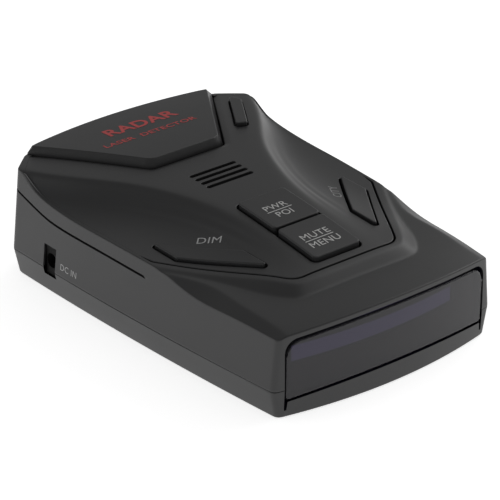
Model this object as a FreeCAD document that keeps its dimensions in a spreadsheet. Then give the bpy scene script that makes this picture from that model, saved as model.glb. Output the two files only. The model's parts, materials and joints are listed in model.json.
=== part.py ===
import FreeCAD, Part
import os
from FreeCAD import Placement, Rotation, Vector

# Car radar detector. The driver looks at its display along +Y, +X is the driver's right, +Z is up.
# The origin is at the middle of the footprint, on the surface that the case stands on.

doc = FreeCAD.newDocument("radar_detector")
sheet = doc.addObject("Spreadsheet::Sheet", "dims")
DIMENSIONS = {
    "frontHalf": 29.4, "middleHalf": 32.9, "rearHalf": 33.4,
    "splitFrontHalf": 30.7, "splitMiddleHalf": 34.3, "splitRearHalf": 35.0,
    "topFrontHalf": 28.4, "topMiddleHalf": 32.0, "topRearHalf": 32.7,
    "frontCorner": -46.0, "frontBulge": -49.5, "frontRadius": 133.0, "middlePlace": 4.0,
    "rearCorner": 40.6, "armHalf": 27.3, "armRear": 46.0, "rearBulge": 49.4,
    "splitHeight": 6.65, "wall": 1.9, "floorThickness": 1.8, "seamGap": 0.2,
    "crownRadius": 338.0, "crownPlace": 19.0, "crownHeight": 26.7,
    "coverRaise": 1.6, "coverFoot": 20.2, "coverEdge": 1.1, "cornerRound": 2.2,
    "windowHalf": 27.8, "windowFoot": 4.0, "windowHeight": 14.3, "windowThickness": 1.6,
    "windowCorner": 3.6, "maskThickness": 1.0, "stripHeight": 4.3, "stripFoot": 11.4,
    "stripLeft": -25.3, "stripLength": 44.6,
    "keyHalf": 6.5, "keyLength": 12.7, "keyRear": -4.4, "keyPitch": 13.4, "keyProud": 0.7,
    "keyGap": 0.35, "keyRound": 1.0, "flangeWidth": 0.8, "flangeDrop": 2.15, "postRadius": 1.5,
    "switchSide": 6.0, "switchHeight": 3.5, "plungerRadius": 1.6, "plungerHeight": 2.2,
    "plungerLift": 2.2, "postTop": 21.0, "keyFoot": 20.6, "flangeFoot": 18.6,
    "slotHalf": 6.5, "slotWidth": 1.1, "slotPitch": 2.05, "slotPlace": 9.1,
    "boardHalf": 26.0, "boardFront": -41.0, "boardRear": 42.0, "boardFoot": 8.0,
    "boardThickness": 1.6, "speakerRadius": 10.0, "speakerPlace": 9.0,
    "jackPlace": 26.8, "jackHeight": 8.7, "jackWide": 4.2, "jackTall": 7.2, "jackMouth": -34.0,
    "jackLength": 10.0, "jackBore": 1.8, "jackDepth": 9.0,
    "hornHalf": 13.0, "hornFront": 22.0, "hornRear": 45.8, "hornHeight": 10.4,
    "bracketPlace": 25.5, "bracketWide": 5.0, "bracketTall": 2.2, "bracketFoot": 16.0,
    "socketLength": 11.5, "socketFront": 30.0, "releaseProud": 0.9, "releaseFoot": 22.4, "latchFoot": 12.2,
    "speakerFoot": 19.6, "speakerDepth": 4.5, "coverShoulder": 25.8,
    "rearWindowHalf": 20.0, "rearWindowFoot": 8.6, "rearWindowHeight": 10.4,
}
for row, (alias, amount) in enumerate(DIMENSIONS.items(), start=1):
    sheet.set(f"A{row}", alias)
    sheet.set(f"B{row}", str(amount))
    sheet.setAlias(f"B{row}", alias)
doc.recompute()

UPRIGHT = Rotation(Vector(1, 0, 0), 90)    # a sketch plane's X, Y become X, Z
TOP = 40.0                                 # above everything, for cutting tools
pieces = {}


def dim(alias):
    return sheet.get(alias)


def place(obj, corner):
    for axis, text in zip("xyz", corner):
        obj.setExpression("Placement.Base." + axis, str(text))
    return obj


def block(name, size, corner):
    obj = doc.addObject("Part::Box", name)
    for prop, text in zip(("Length", "Width", "Height"), size):
        obj.setExpression(prop, str(text))
    return place(obj, corner)


def rod(name, radius, length, start, direction=(0, 0, 1)):
    obj = doc.addObject("Part::Cylinder", name)
    obj.setExpression("Radius", str(radius))
    obj.setExpression("Height", str(length))
    obj.Placement = Placement(Vector(), Rotation(Vector(0, 0, 1), Vector(*direction)))
    return place(obj, start)


def cut(name, base, tools):
    for index, tool in enumerate(tools):
        obj = doc.addObject("Part::Cut", f"{name}_cut{index}")
        obj.Base, obj.Tool = base, tool
        base = obj
    return base


def fuse(name, shapes):
    obj = doc.addObject("Part::MultiFuse", name + "_fused")
    obj.Shapes = shapes
    obj.Refine = True
    return obj


def common(name, first, second):
    obj = doc.addObject("Part::Common", name)
    obj.Base, obj.Tool = first, second
    return obj


def group(name, shapes):
    obj = doc.addObject("Part::Compound", name)
    obj.Links = shapes
    return obj


def shifted(name, obj, lift):
    link = doc.addObject("App::Link", name)
    link.LinkedObject = obj
    link.Placement = Placement(Vector(0, 0, lift), Rotation())
    return link


def mirrored(name, obj):
    copy = doc.addObject("Part::Mirroring", name)
    copy.Source = obj
    copy.Normal = Vector(1, 0, 0)
    return copy


def loft(name, sections, ruled=False):
    obj = doc.addObject("Part::Loft", name)
    obj.Sections = sections
    obj.Solid = True
    obj.Ruled = ruled
    return obj


def sketch(name, curves, placement):
    obj = doc.addObject("Sketcher::SketchObject", name)
    obj.Placement = placement
    for curve in curves:
        obj.addGeometry(curve, False)
    return obj


def level(height):
    return Placement(Vector(0, 0, height), Rotation())


def chain(points):
    corners = [Vector(x, y, 0) for x, y in points]
    return [Part.LineSegment(a, b) for a, b in zip(corners, corners[1:] + corners[:1])]


def prism(name, points, low, high, rounding=0.0):
    outline = sketch(name + "_outline", chain(points), level(low))
    obj = doc.addObject("Part::Extrusion", name + "_prism")
    obj.Base = outline
    obj.Dir = Vector(0, 0, 1)
    obj.LengthFwd = high - low
    obj.Solid = True
    return rounded(name, obj, rounding, upright_edge) if rounding else obj


def upright_edge(edge):
    low, high = edge.BoundBox.ZMin, edge.BoundBox.ZMax
    return len(edge.Vertexes) == 2 and high - low > 1.5 * max(edge.BoundBox.XLength, edge.BoundBox.YLength)


def rounded(name, base, radius, chosen):
    doc.recompute()
    numbers = [n for n, edge in enumerate(base.Shape.Edges, start=1) if chosen(edge)]
    obj = doc.addObject("Part::Fillet", name + "_rounded")
    obj.Base = base
    obj.Edges = [(n, radius, radius) for n in numbers]
    return obj


def grown(points, amount):
    """The outline moved outwards by amount, square corners kept. Points run anticlockwise."""
    moved = []
    for before, here, after in zip(points[-1:] + points[:-1], points, points[1:] + points[:1]):
        a, b, c = Vector(*before, 0), Vector(*here, 0), Vector(*after, 0)
        first, second = (b - a).normalize(), (c - b).normalize()
        out_first, out_second = Vector(first.y, -first.x, 0), Vector(second.y, -second.x, 0)
        spread = (out_first + out_second).normalize()
        point = b + spread * (amount / spread.dot(out_first))
        moved.append((point.x, point.y))
    return moved


def keep(name, obj):
    obj.Label = name
    pieces[name] = obj
    return obj


# ---- the case's outer form ----

def plan(name, height, front, middle, rear, inset=0.0):
    front, middle, rear = dim(front) - inset, dim(middle) - inset, dim(rear) - inset
    arm, corner = dim("armHalf") - inset, dim("frontCorner") + inset
    arm_rear, side_rear = dim("armRear") - inset, dim("rearCorner") - inset / 2
    right = [Vector(front, corner, 0), Vector(middle, dim("middlePlace"), 0), Vector(rear, side_rear, 0)]
    left = [Vector(-point.x, point.y, 0) for point in right]
    ends = [Vector(arm, arm_rear, 0), Vector(-arm, arm_rear, 0)]
    curves = [
        Part.Arc(left[0], Vector(0, dim("frontBulge") + inset, 0), right[0]),
        Part.Arc(*right),
        Part.LineSegment(right[2], ends[0]),
        Part.Arc(ends[0], Vector(0, dim("rearBulge") - inset, 0), ends[1]),
        Part.LineSegment(ends[1], left[2]),
        Part.Arc(left[2], left[1], left[0]),
    ]
    return sketch(name, curves, level(height))


BOTTOM = ("frontHalf", "middleHalf", "rearHalf")
SPLIT = ("splitFrontHalf", "splitMiddleHalf", "splitRearHalf")
UPPER = ("topFrontHalf", "topMiddleHalf", "topRearHalf")
split = dim("splitHeight")
draft_top = 30.0


def front_corner(edge):
    middle = edge.BoundBox.Center
    return upright_edge(edge) and middle.y < dim("frontCorner") + 3


tray = loft("tray", [plan("tray_low", 0, *BOTTOM), plan("tray_high", split, *SPLIT)], ruled=True)
tray = rounded("tray", tray, dim("cornerRound"), front_corner)
hull = loft("hull", [plan("hull_low", split, *SPLIT), plan("hull_high", draft_top, *UPPER)], ruled=True)
hull = rounded("hull", hull, dim("cornerRound"), front_corner)


def crown(name, lift):
    """A wide cylinder across the case, whose top line is the plateau's gentle crown."""
    radius = f"dims.crownRadius + {lift}"
    start = (-60, "dims.crownPlace", "dims.crownHeight - dims.crownRadius")
    return rod(name, radius, 120, start, (1, 0, 0))


# V seam between hood and top panel, and the hood in front of it
SEAM_OUT, SEAM_END, SEAM_IN, SEAM_FRONT = 45.0, 32.1, 14.3, -33.2
SEAM_REAR = -4.9
SEAM_SLOPE = (SEAM_REAR - SEAM_FRONT) / (SEAM_END - SEAM_IN)


def seam_region(name, setback, height):
    """The plan area in front of the V, moved forward by setback."""
    out_y = SEAM_REAR + (SEAM_OUT - SEAM_END) * SEAM_SLOPE
    half = [(-SEAM_OUT, out_y), (-SEAM_IN, SEAM_FRONT), (SEAM_IN, SEAM_FRONT), (SEAM_OUT, out_y)]
    ring = [(-SEAM_OUT, -60.0), (SEAM_OUT, -60.0)] + half[::-1]
    return sketch(name, chain(grown(ring, -setback)), level(height))


def profile(name, place_y, points, arc=False):
    """Upright section across the case. With arc, the first three points are on one arc."""
    corners = [Vector(x, z, 0) for x, z in points]
    if arc:
        curves = [Part.Arc(*corners[:3])]
        corners = corners[2:] + corners[:1]
    else:
        curves = []
        corners = corners + corners[:1]
    curves += [Part.LineSegment(a, b) for a, b in zip(corners, corners[1:])]
    return sketch(name, curves, Placement(Vector(0, place_y, 0), UPRIGHT))


# hood sections: place, height in the middle, height at 28 from the middle
HOOD = [(-52, 20.5, 18.75), (-41, 20.6, 19.75), (-28, 20.85, 20.5), (6, 21.3, 21.0)]
hood_sections = []
for index, (place_y, middle, side) in enumerate(HOOD):
    edge = middle - (middle - side) * (44 / 28) ** 2
    points = [(-44, edge), (0, middle), (44, edge), (44, TOP), (-44, TOP)]
    hood_sections.append(profile(f"hood_section{index}", place_y, points, arc=True))
hood_air = loft("hood_air", hood_sections)
v_air = loft("v_air", [seam_region("v_low", 7.0, 20.0), seam_region("v_high", 0.1, 23.6)], ruled=True)
hood_cut = common("hood_cut", hood_air, v_air)

# scoop sections: place, inner edge, floor point, side crease
SCOOP = [
    (41.5, (34.6, 25.4), (35.0, 24.9), (35.6, 24.4)),
    (35.0, (31.6, 26.3), (32.4, 24.0), (33.7, 22.7)),
    (26.1, (25.4, 26.6), (28.2, 23.0), (33.7, 21.5)),
    (17.6, (19.2, 26.7), (22.4, 23.2), (33.5, 21.3)),
    (9.0, (14.7, 26.5), (18.4, 23.6), (33.2, 21.3)),
    (-3.5, (10.6, 25.9), (14.6, 23.7), (32.6, 21.2)),
    (-14.0, (9.4, 25.1), (14.0, 23.3), (31.8, 21.1)),
    (-26.0, (9.0, 23.9), (14.0, 22.9), (31.0, 21.0)),
    (-40.0, (8.6, 22.4), (14.0, 22.1), (31.0, 20.8)),
]
scoop_sections = []
for index, (place_y, inner, base, crease) in enumerate(SCOOP):
    points = [inner, base, crease, (46.0, crease[1]), (46.0, TOP), (inner[0], TOP)]
    scoop_sections.append(profile(f"scoop_section{index}", place_y, points, arc=True))
scoop = loft("scoop", scoop_sections)

# facet between hood and side: place, lower outer edge, upper inner edge
FACET = [
    (-56, (29.9, 17.8), (27.2, 18.9)),
    (-46.5, (30.4, 18.1), (27.5, 19.25)),
    (-38, (31.0, 18.4), (27.6, 20.0)),
    (-21.6, (31.8, 18.75), (27.8, 20.8)),
    (-13.6, (32.2, 20.2), (29.2, 21.8)),
    (-5.5, (32.6, 21.9), (31.2, 23.0)),
]
facet_sections = []
for index, (place_y, low, high) in enumerate(FACET):
    step_x, step_z = low[0] - high[0], high[1] - low[1]
    outer = (low[0] + 5 * step_x, low[1] - 5 * step_z)
    inner = (high[0] - 4 * step_x, high[1] + 4 * step_z)
    facet_sections.append(profile(f"facet_section{index}", place_y, [outer, inner, (outer[0], inner[1])]))
facet = loft("facet", facet_sections, ruled=True)

form = common("crowned", hull, crown("plateau", 0))
form_tools = [hood_cut, scoop, mirrored("scoop_left", scoop), facet, mirrored("facet_left", facet)]
form = cut("form", form, form_tools)

# ---- inside of the case ----
inside = loft("inside", [plan("inside_low", split, *SPLIT, inset=dim("wall")),
                         plan("inside_high", draft_top, *UPPER, inset=dim("wall"))], ruled=True)
hollow = common("hollow", inside, shifted("form_lowered", form, -dim("wall")))
tray_inside = loft("tray_inside", [plan("tray_inside_low", dim("floorThickness"), *BOTTOM, inset=dim("wall")),
                                   plan("tray_inside_high", split, *SPLIT, inset=dim("wall"))], ruled=True)

CASE_SCREWS = [(29.4, 14.0), (-29.4, 14.0), (25.2, -36.0), (-25.2, -36.0)]
BOARD_SCREWS = [(18.0, 14.0), (-18.0, 14.0), (18.0, -30.0), (-18.0, -30.0)]
upper_bosses = [rod(f"upper_boss{n}", 3.6, 15, (x, y, split + 0.1)) for n, (x, y) in enumerate(CASE_SCREWS)]
upper_bosses = common("upper_bosses", fuse("upper_boss", upper_bosses), form)
pilots = [rod(f"pilot{n}", 1.1, 7.5, (x, y, split)) for n, (x, y) in enumerate(CASE_SCREWS)]
case_bosses = [rod(f"case_boss{n}", 3.4, split - 1, (x, y, 1)) for n, (x, y) in enumerate(CASE_SCREWS)]
counterbores = [rod(f"counterbore{n}", 2.6, 2.2, (x, y, 0)) for n, (x, y) in enumerate(CASE_SCREWS)]
screw_ways = [rod(f"screw_way{n}", 1.3, split, (x, y, 0)) for n, (x, y) in enumerate(CASE_SCREWS)]
board_posts = [rod(f"board_post{n}", 2.5, "dims.boardFoot - 1", (x, y, 1))
               for n, (x, y) in enumerate(BOARD_SCREWS)]
post_holes = [rod(f"post_hole{n}", 1.0, 6, (x, y, 4)) for n, (x, y) in enumerate(BOARD_SCREWS)]

# ---- openings ----

def upright_prism(name, points, front, length):
    outline = sketch(name + "_outline", chain(points), Placement(Vector(0, front, 0), UPRIGHT))
    obj = doc.addObject("Part::Extrusion", name)
    obj.Base = outline
    obj.Dir = Vector(0, 1, 0)
    obj.LengthFwd = length
    obj.Solid = True
    return obj


def window_outline(grow):
    half, low = dim("windowHalf") + grow, dim("windowFoot") - grow
    high, corner = dim("windowFoot") + dim("windowHeight") + grow, dim("windowCorner")
    return [(-half, low), (half, low), (half, high - corner), (half - corner, high), (corner - half, high),
            (-half, high - corner)]


window_hole = upright_prism("window_hole", window_outline(0.2), -60, 18)
jack_side = "dims.jackPlace - dims.jackWide / 2"
jack_foot = "dims.jackHeight - dims.jackTall / 2"
jack_hole = block("jack_hole", (12, "dims.jackWide + 0.15", "dims.jackTall + 0.15"),
                  (-40, jack_side + " - 0.075", jack_foot + " - 0.075"))
rear_hole = block("rear_hole", ("2 * dims.rearWindowHalf + 0.2", 14, "dims.rearWindowHeight + 0.2"),
                  ("-dims.rearWindowHalf - 0.1", 42, "dims.rearWindowFoot - 0.1"))
bracket_hole = block("bracket_hole", ("dims.bracketWide", 14, "dims.bracketTall"),
                     ("dims.bracketPlace - dims.bracketWide / 2", 42, "dims.bracketFoot"))
slots = []
for index in range(4):
    middle = f"dims.slotPlace + {index - 1.5} * dims.slotPitch"
    bar = block(f"slot_bar{index}", ("2 * dims.slotHalf - dims.slotWidth", "dims.slotWidth", 12),
                ("dims.slotWidth / 2 - dims.slotHalf", middle + " - dims.slotWidth / 2", 20))
    ends = [rod(f"slot_end{index}{side}", "dims.slotWidth / 2", 12,
                (f"{sign} * (dims.slotHalf - dims.slotWidth / 2)", middle, 20))
            for side, sign in (("l", -1), ("r", 1))]
    slots += [bar] + ends
slot_tool = fuse("slots", slots)

# notch for the radar cover, between the two arms
NOTCH = [(-10.45, 20.8), (10.45, 20.8), (26.5, 45.3), (30.0, 58.0), (-30.0, 58.0), (-26.5, 45.3)]
notch = prism("notch", NOTCH, 20, TOP, 1.8)

# side groove, one each side, with a blind end
GROOVE = [(42.0, 21.6), (34.0, 19.4), (25.5, 17.7), (12.0, 17.1), (-2.6, 17.0)]


def groove_profile():
    upper = [(y, z + 0.4) for y, z in GROOVE]
    lower = [(y, z - 0.4) for y, z in GROOVE]
    return [Vector(0, y, z) for y, z in upper + lower[::-1]]


groove_wire = doc.addObject("Part::Polygon", "groove_outline")
groove_wire.Nodes = groove_profile()
groove_wire.Close = True
groove = doc.addObject("Part::Extrusion", "groove")
groove.Base = groove_wire
groove.Dir = Vector(1, 0, 0)
groove.LengthFwd = 10
groove.Solid = True
groove.Placement = Placement(Vector(32.9, 0, 0), Rotation())

# keys: outlines on the top panel

def key_outline(number, widen=0.0):
    rear = dim("keyRear") - number * dim("keyPitch")
    half, front = dim("keyHalf") + widen, rear - dim("keyLength")
    return [(-half, front), (half, front), (half, rear), (-half, rear)]


BLADE = [(15.3, -25.9), (26.9, -9.0), (26.9, -0.3), (15.5, -17.5)]
RELEASE = [(20.9, 25.4), (28.4, 36.9), (27.5, 40.4), (18.3, 26.5)]
BLADE_LEFT = [(-x, y) for x, y in BLADE[::-1]]
FLANGE = dim("flangeWidth")
KEYS = {
    "power": (key_outline(0), key_outline(0, FLANGE), (0.0, -10.75)),
    "mute": (key_outline(1), key_outline(1, FLANGE), (0.0, -24.15)),
    "dim": (BLADE_LEFT, grown(BLADE_LEFT, FLANGE), (-21.05, -13.65)),
    "city": (BLADE, grown(BLADE, FLANGE), (21.05, -13.65)),
}
key_holes = [prism(f"{name}_hole", grown(outline, dim("keyGap")), 15, TOP, 1.2)
             for name, (outline, rim, middle) in KEYS.items()]
release_hole = prism("release_hole", grown(RELEASE, 0.3), 15, TOP, 0.8)

# ---- case pieces ----
lower = cut("lower_shell", tray, [tray_inside])
lower = fuse("lower", [lower] + [common("case_boss_set", fuse("case_boss", case_bosses), tray)] + board_posts)
holes = fuse("lower_holes", counterbores + screw_ways)
label_recess = block("label_recess", (36, 24, 0.3), (-18, -12, 0))
lower_tools = [holes, fuse("post_holes", post_holes), window_hole, jack_hole, label_recess]
keep("lower_case", cut("lower_case", lower, lower_tools))

shell = cut("shell", form, [hollow])
shell = fuse("upper", [shell, upper_bosses])
shell = cut("upper_open", shell, [fuse("pilots", pilots), window_hole, jack_hole, rear_hole, bracket_hole, notch,
                                  groove, mirrored("groove_left", groove)])

# the top panel takes what lies behind the V and inside the side crease
PANEL = [(-SEAM_IN, SEAM_FRONT), (SEAM_IN, SEAM_FRONT), (31.2, SEAM_REAR - 1.4), (31.7, -3.0), (32.2, 15.0),
         (32.4, 38.6), (26.6, 44.6), (-26.6, 44.6), (-32.4, 38.6), (-32.2, 15.0), (-31.7, -3.0),
         (-31.2, SEAM_REAR - 1.4)]
panel_area = prism("panel_area", grown(PANEL, -dim("seamGap") / 2), 17.5, TOP)
panel_well = prism("panel_well", grown(PANEL, dim("seamGap") / 2), 17.5, TOP)
keep("upper_case", cut("upper_case", shell, [panel_well]))
panel = common("panel_shell", shell, panel_area)
keep("top_panel", cut("top_panel", panel, [slot_tool, fuse("key_holes", key_holes), release_hole]))

# ---- radar cover ----
COVER = [(-10.25, 21.0), (10.25, 21.0), (26.2, 45.3), (29.0, 58.0), (-29.0, 58.0), (-26.2, 45.3)]
shoulder = dim("coverShoulder")
cover_top = 29.0
cover_base = prism("cover", COVER, dim("coverFoot"), shoulder)
slope_low = sketch("cover_slope_low", chain(COVER), level(shoulder))
slope_high = sketch("cover_slope_high", chain(grown(COVER, -dim("coverEdge"))), level(cover_top))
cover_slope = loft("cover_slope", [slope_low, slope_high], ruled=True)
cover_block = common("cover_plan", fuse("cover_solid", [cover_base, cover_slope]), hull)
cover_block = common("cover_block", cover_block, crown("cover_crown", "dims.coverRaise"))
cover_hollow = common("cover_hollow", prism("cover_inner", grown(COVER, -1.8), 18, TOP), inside)
cover_hollow = common("cover_room", cover_hollow, crown("cover_under", "dims.coverRaise - dims.wall"))
keep("antenna_cover", cut("antenna_cover", cover_block, [cover_hollow]))

# ---- display ----
def arc_band(name, inset, thickness, low, height):
    """A curved plate that follows the case's bowed front."""
    middle = dim("frontBulge") + dim("frontRadius")
    outer = rod(name + "_outer", f"dims.frontRadius - {inset}", height, (0, middle, low))
    inner = rod(name + "_inner", f"dims.frontRadius - {inset + thickness}", height, (0, middle, low))
    return cut(name + "_band", outer, [inner])


window_band = arc_band("window", 0.15, dim("windowThickness"), 0, 30)
window_shape = upright_prism("window_shape", window_outline(0), -60, 18)
keep("display_window", common("display_window", window_band, window_shape))
mask_band = arc_band("mask", 0.15 + dim("windowThickness"), dim("maskThickness"), 0, 30)
MASK = [(-26.6, 4.6), (26.6, 4.6), (26.6, 15.2), (24.2, 17.2), (-24.2, 17.2), (-26.6, 15.2)]
mask_shape = upright_prism("mask_shape", MASK, -60, 18)
mask_slot = block("mask_slot", ("dims.stripLength", 18, "dims.stripHeight"),
                  ("dims.stripLeft", -60, "dims.stripFoot"))
keep("display_mask", cut("display_mask", common("mask_plate", mask_band, mask_shape), [mask_slot]))
keep("display_module", block("display_module", (50, 1.4, 10), (-25, -44.0, 7.0)))
keep("display_board", block("display_board", (46, 1.2, 12.4), (-23, -42.6, 4.8)))

# ---- boards ----
board_top = dim("boardFoot") + dim("boardThickness")
board_length = "dims.boardRear - dims.boardFront"
board = block("board_blank", ("2 * dims.boardHalf", board_length, "dims.boardThickness"),
              ("-dims.boardHalf", "dims.boardFront", "dims.boardFoot"))
board_notches = [rod(f"board_notch{n}", 4.2, 4, (x, y, 7)) for n, (x, y) in enumerate(CASE_SCREWS)]
board_holes = [rod(f"board_hole{n}", 1.1, 4, (x, y, 7)) for n, (x, y) in enumerate(BOARD_SCREWS)]
jack_notch = block("jack_notch", (8, "dims.jackWide + 0.6", 6), (-31.6, jack_side + " - 0.3", 6))
keep("main_board", cut("main_board", board, board_notches + board_holes + [jack_notch]))
cable_path = [(-41.4, 13.4), (-41.4, 12.9), (-38.6, 12.9),
              (-36.6, board_top), (-35.8, board_top), (-38.2, 13.4)]
cable_wire = doc.addObject("Part::Polygon", "cable_outline")
cable_wire.Nodes = [Vector(-7, y, z) for y, z in cable_path]
cable_wire.Close = True
cable = doc.addObject("Part::Extrusion", "display_cable")
cable.Base = cable_wire
cable.Dir = Vector(1, 0, 0)
cable.LengthFwd = 14
cable.Solid = True
keep("display_cable", cable)
keep("processor", block("processor", (9, 9, 1.2), (-15, -4, board_top)))
chip_places = [(10.0, -4.0), (8.0, -36.0)]
keep("support_chips", group("support_chips", [block(f"chip{n}", (6, 5, 1), (x, y, board_top))
                                              for n, (x, y) in enumerate(chip_places)]))
can_places = [(-11.0, -33.0), (-22.0, -24.0), (-11.5, -15.0)]
keep("capacitors", group("capacitors", [rod(f"can{n}", 2, 5.4, (x, y, board_top))
                                        for n, (x, y) in enumerate(can_places)]))
keep("rf_shield", block("rf_shield", (7, 18, 3.4), (-21, 20, board_top)))
keep("position_antenna", block("position_antenna", (9, 9, 4), (14.5, 17.5, board_top)))
sensor_body = block("sensor_body", (6, 4.6, 7), (-21.5, 39.2, board_top))
sensor_eye = doc.addObject("Part::Sphere", "sensor_eye")
sensor_eye.Radius = 2.2
place(sensor_eye, (-18.5, 43.2, board_top + 4.4))
keep("laser_sensor", fuse("laser_sensor", [sensor_body, sensor_eye]))

# ---- horn antenna ----
horn_size = ("2 * dims.hornHalf", "dims.hornRear - dims.hornFront", "dims.hornHeight")
horn_block = block("horn_block", horn_size, ("-dims.hornHalf", "dims.hornFront", board_top))
horn_mouth = dim("hornRear") + 0.2
horn_middle = board_top + dim("hornHeight") / 2


def horn_section(name, place_y, half_x, half_z):
    points = [(-half_x, horn_middle - half_z), (half_x, horn_middle - half_z), (half_x, horn_middle + half_z),
              (-half_x, horn_middle + half_z)]
    return profile(name, place_y, points)


horn_flare = loft("horn_flare", [horn_section("horn_throat", 29.0, 4.0, 2.4),
                                 horn_section("horn_lip", horn_mouth, 11.6, 4.2)], ruled=True)
horn_guide = block("horn_guide", (8, 4.5, 4.8), (-4, 24.6, horn_middle - 2.4))
keep("horn_antenna", cut("horn_antenna", horn_block, [fuse("horn_air", [horn_flare, horn_guide])]))

# ---- rear window ----
rear_thickness = 1.5
rear_core = loft("rear_core", [plan("rear_core_low", split, *SPLIT, inset=rear_thickness),
                               plan("rear_core_high", draft_top, *UPPER, inset=rear_thickness)], ruled=True)
rear_block = block("rear_block", ("2 * dims.rearWindowHalf", 14, "dims.rearWindowHeight"),
                   ("-dims.rearWindowHalf", 42, "dims.rearWindowFoot"))
keep("rear_window", common("rear_window", cut("rear_skin", hull, [rear_core]), rear_block))

# ---- speaker ----
speaker_foot = (0, "dims.speakerPlace", "dims.speakerFoot")
ring = rod("speaker_outer", "dims.speakerRadius", "dims.speakerDepth", speaker_foot)
ring_hole = rod("speaker_inner", "dims.speakerRadius - 1.4", "dims.speakerDepth", speaker_foot)
keep("speaker_frame", cut("speaker_frame", ring, [ring_hole]))
cone_outer = doc.addObject("Part::Cone", "cone_outer")
cone_inner = doc.addObject("Part::Cone", "cone_inner")
for cone, drop in ((cone_outer, 0.0), (cone_inner, 0.4)):
    cone.Radius1 = 4.0
    cone.Radius2 = 8.6
    cone.Height = 3.0
    place(cone, (0, "dims.speakerPlace", f"dims.speakerFoot + {drop}"))
keep("speaker_cone", cut("speaker_cone", cone_outer, [cone_inner]))
keep("speaker_magnet", rod("speaker_magnet", 6, 5, (0, "dims.speakerPlace", "dims.speakerFoot - 5")))
keep("speaker_mesh", rod("speaker_mesh", "dims.speakerRadius - 1.6", 0.3, (0, "dims.speakerPlace", 23.8)))
wires = [rod(f"speaker_wire{n}", 0.5, dim("speakerFoot") - board_top, (x, "dims.speakerPlace", board_top))
         for n, x in enumerate((-9.2, 9.2))]
keep("speaker_wires", group("speaker_wires", wires))

# ---- DC inlet ----
jack_body = block("jack_body", ("dims.jackLength", "dims.jackWide", "dims.jackTall"),
                  ("dims.jackMouth", jack_side, jack_foot))
jack_bore = rod("jack_bore", "dims.jackBore", "dims.jackDepth",
                ("dims.jackMouth", "dims.jackPlace", "dims.jackHeight"), (1, 0, 0))
keep("dc_inlet", cut("dc_inlet", jack_body, [jack_bore]))

# ---- keys, switches and plungers ----
form_proud = shifted("form_proud", form, dim("keyProud"))
form_flange = shifted("form_flange", form, -dim("flangeDrop"))
plunger_foot = board_top + dim("plungerLift")
plunger_top = plunger_foot + dim("plungerHeight")
for name, (outline, rim, (x, y)) in KEYS.items():
    key_prism = prism(f"{name}_key", outline, dim("keyFoot"), TOP, dim("keyRound"))
    cap = common(f"{name}_cap", key_prism, form_proud)
    flange = common(f"{name}_flange", prism(f"{name}_rim", rim, dim("flangeFoot"), TOP), form_flange)
    post = rod(f"{name}_post", "dims.postRadius", dim("postTop") - plunger_top, (x, y, plunger_top))
    keep(f"{name}_button", fuse(f"{name}_button", [cap, flange, post]))
    side = "dims.switchSide"
    body = block(f"{name}_switch_body", (side, side, "dims.switchHeight"),
                 (f"{x} - {side} / 2", f"{y} - {side} / 2", board_top))
    pocket = rod(f"{name}_switch_pocket", "dims.plungerRadius + 0.2", 4, (x, y, plunger_foot - 0.7))
    keep(f"{name}_switch", cut(f"{name}_switch", body, [pocket]))
    plunger_base = (x, y, plunger_foot)
    keep(f"{name}_plunger", rod(f"{name}_plunger", "dims.plungerRadius", "dims.plungerHeight", plunger_base))

# ---- mount release ----
release_foot = dim("releaseFoot")
keep("release_button", common("release_button", prism("release_key", RELEASE, release_foot, TOP, 0.6),
                              crown("release_crown", "dims.releaseProud")))
socket_low, socket_high = dim("bracketFoot") - 1.2, dim("bracketFoot") + dim("bracketTall") + 1.0
socket_block = block("socket_block", ("dims.bracketWide + 2", "dims.socketLength", socket_high - socket_low),
                     ("dims.bracketPlace - dims.bracketWide / 2 - 1", "dims.socketFront", socket_low))
socket_way = block("socket_way", ("dims.bracketWide", 20, "dims.bracketTall"),
                   ("dims.bracketPlace - dims.bracketWide / 2", "dims.socketFront + 1.2", "dims.bracketFoot"))
latch_way = rod("latch_way", 1.3, 2, (25.0, 34.5, socket_low - 0.2))
keep("bracket_socket", cut("bracket_socket", socket_block, [socket_way, latch_way]))
latch_height = "dims.releaseFoot - dims.latchFoot"
latch_arm = block("latch_arm", (1.0, 2.6, latch_height), (20.9, 27.2, "dims.latchFoot"))
latch_foot = block("latch_foot", (5.3, 2.6, 1.0), (20.9, 27.2, "dims.latchFoot"))
latch_beam = block("latch_beam", (2.4, 8.6, 1.0), (23.8, 27.2, "dims.latchFoot"))
latch_tip = rod("latch_tip", 1.0, 4.6, (25.0, 34.5, "dims.latchFoot"))
keep("release_latch", fuse("release_latch", [latch_arm, latch_foot, latch_beam, latch_tip]))
coil_radius, coil_wire, coil_turns = 1.2, 0.2, 3
coil_gap = 0.05
coil_height = release_foot - socket_high - 2 * coil_wire - 2 * coil_gap
helix = doc.addObject("Part::Helix", "spring_path")
helix.Radius = coil_radius
helix.Pitch = coil_height / coil_turns
helix.Height = coil_height
ring_sketch = sketch("spring_section", [Part.Circle(Vector(coil_radius, 0, 0), Vector(0, 0, 1), coil_wire)],
                     Placement(Vector(), UPRIGHT))
spring = doc.addObject("Part::Sweep", "release_spring")
spring.Sections = [ring_sketch]
spring.Spine = (helix, [])
spring.Solid = True
spring.Frenet = True
spring.Placement = Placement(Vector(24.3, 33.0, socket_high + coil_wire + coil_gap), Rotation())
keep("release_spring", spring)

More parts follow.
